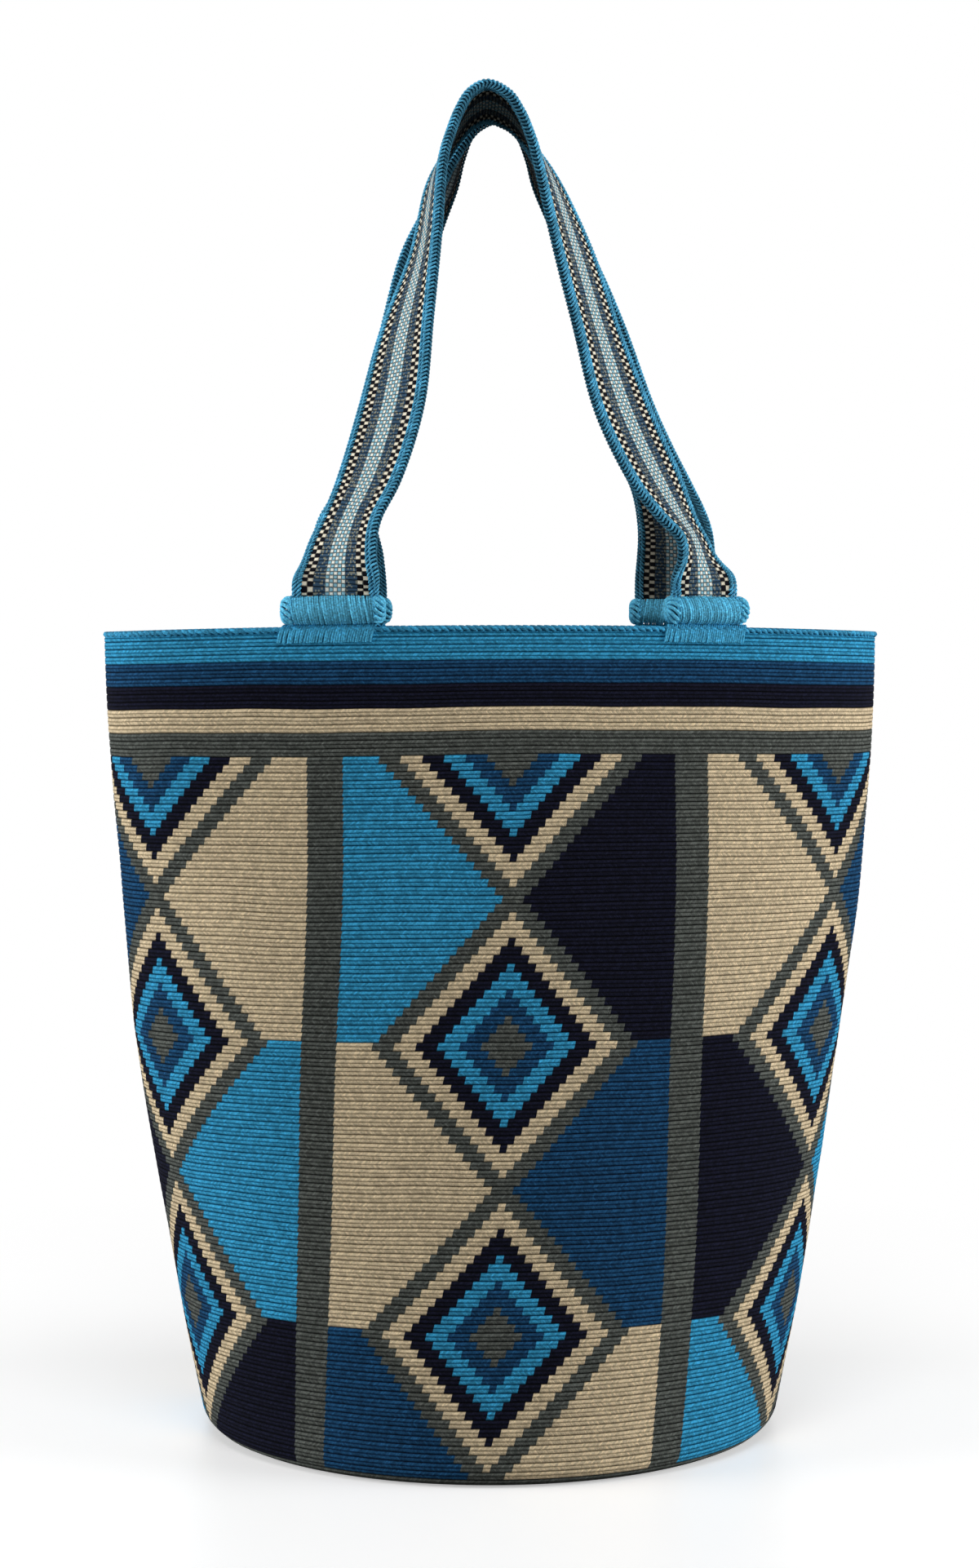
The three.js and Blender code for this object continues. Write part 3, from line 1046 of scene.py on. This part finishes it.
def weaveMaterial():
    material, graph, shader = newMaterial("strapWeave")
    place = graph.node("ShaderNodeUVMap", {"uv_map": "weave"})
    x = graph.node("ShaderNodeSeparateXYZ", {}, {0: place})
    isReverse = x > 1.5
    across = (x - 0.5 - 2 * isReverse) * strap["width"]
    along = x.other("Y") * strap["width"]
    aside = abs(across)
    row = graph.floor(along / weave["cell"])
    dot = (across + weave["centre"]) / weave["dotWidth"]
    checked = (aside - weave["slate"]) / weave["checkWidth"]
    rib = along / weave["cell"]
    thread = across / weave["threadWidth"]
    fleck = graph.cells(thread, rib * 2)

    def alternate(column, line):
        return graph.fraction((graph.floor(column) + line) / 2) > 0.25

    dots = graph.mixColour(alternate(dot, row), weave["dotCream"], weave["dotBlue"])
    checks = graph.mixColour(alternate(checked, row), weave["cream"], weave["black"])
    slates = graph.mixColour(fleck > 1 - weave["tanShare"], weave["slateBlue"], weave["slateTan"])
    isSlate = aside > weave["centre"]
    isCheck = aside > weave["slate"]
    isBorder = aside > weave["check"]
    paint = graph.mixColour(isSlate, dots, slates)
    paint = graph.mixColour(isCheck, paint, checks)
    # painted shade in the gaps of the border
    paint = graph.mixColour(isBorder, paint, weave["borderGapShade"])

    inSlate = isSlate * (1 - isCheck)
    width = isCheck * graph.wave(checked) + (1 - isSlate) * graph.wave(dot) + inSlate
    cell = graph.atMost(width * 2, 1) * graph.atMost(graph.wave(rib) * 1.8, 1)
    position = graph.place()
    fuzz = graph.noise(position, weave["fuzzPerMetre"], 3)
    lint = graph.noise(position, weave["lintPerMetre"], 2)
    # painted shade: the gaps between the threads and cells are darkened
    shade = (0.2 + 0.8 * cell) * (0.5 + 0.4 * fuzz + 0.7 * lint)
    # painted shade on the inner face of the strap
    shade = shade * (1 - (1 - weave["reverse"]) * isReverse)
    paint = graph.mixColour(1, paint, graph.grey(shade), "MULTIPLY")
    dress(graph, shader, paint, cell + 0.2 * fuzz, weave["relief"])
    return material


def makeStrap(name, node, side, leftTab, rightTab, band, cord):
    frames = strapFrames(side, leftTab, rightTab)
    mesh = bandMesh(name, frames, side)
    mesh.materials.append(band)
    settle(addObject(name, mesh), "strap_weave", node)
    offset = (strap["width"] - strap["edgeWidth"]) / 2
    for edge, way in (("Left", 1), ("Right", -1)):
        places = [place + across * offset * way for place, _, across, _ in frames]
        acrosses = [across * way for _, _, across, _ in frames]
        facings = [out * -side for _, _, _, out in frames]
        path = pathObject(name + edge + "Border", places, acrosses, facings)
        settle(grow(path, borderTree, cord, borderSizes), "strap_weave")


borderSizes = {
    "Stitch": strap["edgeStitch"],
    "Strand Radius": strap["edgeStrand"],
    "Half Width": strap["edgeWidth"] / 2,
    "Half Thickness": strap["edgeThickness"] / 2,
    "Seed": strap["seed"],
}
borderTree = edgeTree(borderSizes)
strapWeave = weaveMaterial()
borderYarn = strandMaterial("borderYarn", strap["borderLook"])
makeStrap("frontStrap", "front_strap", -1, "front_left", "front_right", strapWeave, borderYarn)
makeStrap("backStrap", "back_strap", 1, "back_left", "back_right", strapWeave, borderYarn)


# Bindings: yarn wound round the folded strap ends, with a coiled rosette at each end

def windingTree(sizes):
    tree = Recipe("windings", sizes)
    radius, tilt, seed = tree.given("Strand Radius"), tree.given("Tilt"), tree.given("Seed")
    line = tree.node("GeometryNodeMeshToCurve", {}, {0: tree.given("Geometry")})
    points = alongCurve(tree, tree.given("Geometry"), tree.given("Pitch"))
    loop = tree.node("GeometryNodeCurvePrimitiveCircle", {}, {"Resolution": 28, "Radius": 1.0})
    size = tree.vector(tree.given("Depth") / 2 - radius, tree.given("Height") / 2 - radius, 1)
    loop = tree.node("GeometryNodeTransform", {}, {"Geometry": loop, "Scale": size})
    upright = {"Geometry": loop, "Rotation": (math.pi / 2, 0, 0)}
    loop = thick(tree, tree.node("GeometryNodeTransform", {}, upright), radius, 6)
    share = tree.node("GeometryNodeSplineParameter", {}, {}, out="Factor")
    swell = 0.93 + 0.09 * tree.calc("SINE", share * math.pi) ** 0.4  # fuller in the middle
    full = swell * tree.chance(seed, 0.985, 1.015)
    turn = tree.chance(seed, -1 * tilt, tilt) + tree.given("Lean")
    loops = placed(tree, points, loop, seed, turn, tree.vector(full, full, full))

    sunk = 1.6 * radius  # the core and the folds' feet lie this deep under the turns
    # the core carries the darkest painted shade, in the gaps between the turns
    core = thick(tree, line, tree.given("Depth") / 2 - sunk, 16, deep=1.0)
    reach = tree.given("Height") / 2 - sunk
    fold = strand(tree, [
        tree.vector(reach * 0.05, 0, -1 * radius),
        tree.vector(reach * 0.02, reach * 0.55, reach * 0.5),
        tree.vector(reach * -0.6, reach * 0.6, reach * 0.8),
        tree.vector(reach * -0.97, 0, reach * 0.6),
    ], radius * 1.5, 8, 6)
    ring = tree.node("GeometryNodeMeshCircle", {}, {"Vertices": tree.given("Folds"), "Radius": reach})
    place = tree.node("GeometryNodeInputPosition")
    settings = {"axis": "X", "pivot_axis": "Z"}
    spoke = tree.node("FunctionNodeAlignRotationToVector", settings, {"Vector": place})
    sockets = {"Points": ring, "Instance": fold, "Rotation": spoke}
    rosette = tree.node("GeometryNodeInstanceOnPoints", {}, sockets)
    ends = tree.node("GeometryNodeCurveEndpointSelection")
    outwards = tree.scaled(tree.node("GeometryNodeInputTangent"), share * 2 - 1)
    facing = tree.node("FunctionNodeAlignRotationToVector", {"axis": "Z"}, {"Vector": outwards})
    sockets = {"Points": points, "Selection": ends, "Instance": rosette, "Rotation": facing}
    rosettes = tree.node("GeometryNodeInstanceOnPoints", {}, sockets)
    rosettes = stored(tree, rosettes, "chance", 0.6, "INSTANCE")
    return tree.finishWith(tree.joined(loops, core, rosettes))


def rimPath(name, degrees, shift, length, lift, steps=40):  # shift is away from the middle
    angle = math.radians(degrees)
    shift = math.copysign(shift, math.sin(angle)) - bag["lean"]  # the lean moves no tab
    shift = shift * math.copysign(1, math.cos(angle))
    places, outs = [], []
    for i in range(steps + 1):
        place, _, outward = rimAt(degrees, shift + length * (i / steps - 0.5))
        places.append(place + Vector((0, 0, lift)))
        outs.append(outward)
    return pathObject(name, places, outs, [(0, 0, 1)] * len(places))


def makeBindings():
    sizes = {
        "Pitch": binding["pitch"],
        "Strand Radius": binding["strandRadius"],
        "Height": binding["height"],
        "Depth": binding["depth"],
        "Lean": binding["lean"],
        "Tilt": binding["tilt"],
        "Folds": binding["folds"],
        "Seed": binding["seed"],
    }
    tree = windingTree(sizes)
    material = strandMaterial("bindingYarn", binding["look"])
    lift = bindingFoot + binding["height"] / 2
    for tab, degrees in tabs.items():
        length = bindingLength * binding["lengths"][tab] - 2 * binding["dome"]
        path = rimPath(tab + "_windings", degrees, binding["shift"], length, lift)
        piece = grow(path, tree, material, {**sizes, "Seed": binding["seed"] + round(degrees)})
        settle(piece, "binding_yarn", tab + "_binding")


makeBindings()


# Whip stitches: slanting strands over the rim, side by side

def whipTree(sizes):
    tree = Recipe("whipStitches", sizes)
    points = alongCurve(tree, tree.given("Geometry"), tree.given("Pitch"))
    slant, drop, radius = tree.given("Slant"), tree.given("Drop"), tree.given("Strand Radius")
    tilt, seed = tree.given("Tilt"), tree.given("Seed")
    out = tree.given("Rim Radius") + radius * 1.1
    crown = drop * 0.88
    ends = [
        tree.vector(out, -1 * slant, -1 * drop),
        tree.vector(out * 1.25, slant * -0.4, crown),
        tree.vector(out * -1.25, slant * 0.4, crown),
        tree.vector(-1 * out, slant, -1 * drop),
    ]
    shape = strand(tree, ends, radius, 14, 6)
    return tree.finishWith(placed(tree, points, shape, seed, tree.chance(seed, -1 * tilt, tilt)))


def makeWhips():
    sizes = {
        "Pitch": whip["pitch"],
        "Strand Radius": whip["strandRadius"],
        "Drop": whip["drop"],
        "Slant": whip["slant"],
        "Rim Radius": rimRadius,
        "Tilt": whip["tilt"],
        "Seed": whip["seed"],
    }
    tree = whipTree(sizes)
    material = strandMaterial("seamYarn", whip["look"])
    for tab, degrees in tabs.items():
        length = whip["length"] * whip["lengths"][tab]
        path = rimPath(tab + "_stitches", degrees, whip["shift"], length, 0)
        piece = grow(path, tree, material, sizes)
        settle(piece, "binding_yarn", tab + "_whip_stitches")


makeWhips()


# Floor and light

studio = {
    "floorHalf": 6,  # metres
    "floorSeen": 0.95,  # how pale the camera sees it
    "floor": 0.3,  # what it throws back at the bag
    "floorGlow": 0.4,  # what the camera sees of the floor besides its light
    "floorFade": (0.22, 0.3),  # from this far out it turns white, over this length
    "world": 0.13,
    "lamps": [  # name, place, what it points at, width, watts
        ("leftLamp", (-1.5, -0.26, 0.32), (0, 0, 0.2), 1.0, 21),
        ("rightLamp", (1.5, -0.26, 0.32), (0, 0, 0.2), 1.0, 21),
        ("topLamp", (0, -0.5, 1.0), (0, 0, 0.42), 0.5, 2.4),
    ],
}


def makeFloor():
    material, graph, shader = newMaterial("paleFloor", 0.4, 0.3)
    mesh = bpy.data.meshes.new("floor")
    half = studio["floorHalf"]
    corners = [(-half, -half, 0), (half, -half, 0), (half, half, 0), (-half, half, 0)]
    mesh.from_pydata(corners, [], [(0, 1, 2, 3)])
    mesh.materials.append(material)
    rays = graph.node("ShaderNodeLightPath")
    pale = graph.grey(lerp(studio["floor"], studio["floorSeen"], rays))
    graph.tree.links.new(pale.socket, shader.inputs["Base Color"])
    sockets = {"Color": (1, 1, 1, 1), "Strength": rays * studio["floorGlow"]}
    glow = graph.node("ShaderNodeEmission", {}, sockets)
    both = graph.node("ShaderNodeAddShader", {}, {0: Wire(graph, shader.outputs[0]), 1: glow})
    far = graph.node("ShaderNodeVectorMath", {"operation": "LENGTH"}, {0: graph.place()}, out="Value")
    start, length = studio["floorFade"]
    fade = graph.calc("MAXIMUM", graph.atMost((far - start) / length, 1), 0) * rays
    white = graph.node("ShaderNodeEmission", {}, {"Color": (1, 1, 1, 1), "Strength": 1.0})
    both = graph.node("ShaderNodeMixShader", {}, {0: fade, 1: both, 2: white})
    end = material.node_tree.nodes["Material Output"]
    material.node_tree.links.new(both.socket, end.inputs["Surface"])
    addObject("floor", mesh)


def makeWorld():
    world = bpy.data.worlds.new("studio")
    bpy.context.scene.world = world
    world.use_nodes = True
    graph = Graph(world.node_tree)
    back = world.node_tree.nodes["Background"]
    back.inputs["Color"].default_value = (1, 1, 1, 1)
    rays = graph.node("ShaderNodeLightPath")
    seen = graph.calc("MAXIMUM", rays, rays.other("Is Glossy Ray"))
    seen = graph.calc("MAXIMUM", seen, rays.other("Is Transmission Ray"))
    strength = seen + (1 - seen) * studio["world"]
    world.node_tree.links.new(strength.socket, back.inputs["Strength"])


def makeLamps():
    for name, place, aim, width, watts in studio["lamps"]:
        data = bpy.data.lights.new(name, "AREA")
        data.shape = "DISK"
        data.size = width
        data.energy = watts
        lamp = bpy.data.objects.new(name, data)
        bpy.context.scene.collection.objects.link(lamp)
        lamp.location = place
        lamp.rotation_euler = (Vector(aim) - Vector(place)).to_track_quat("-Z", "Y").to_euler()


makeFloor()
makeWorld()
makeLamps()
bpy.context.scene.view_settings.view_transform = "Standard"
print("floor and light made")
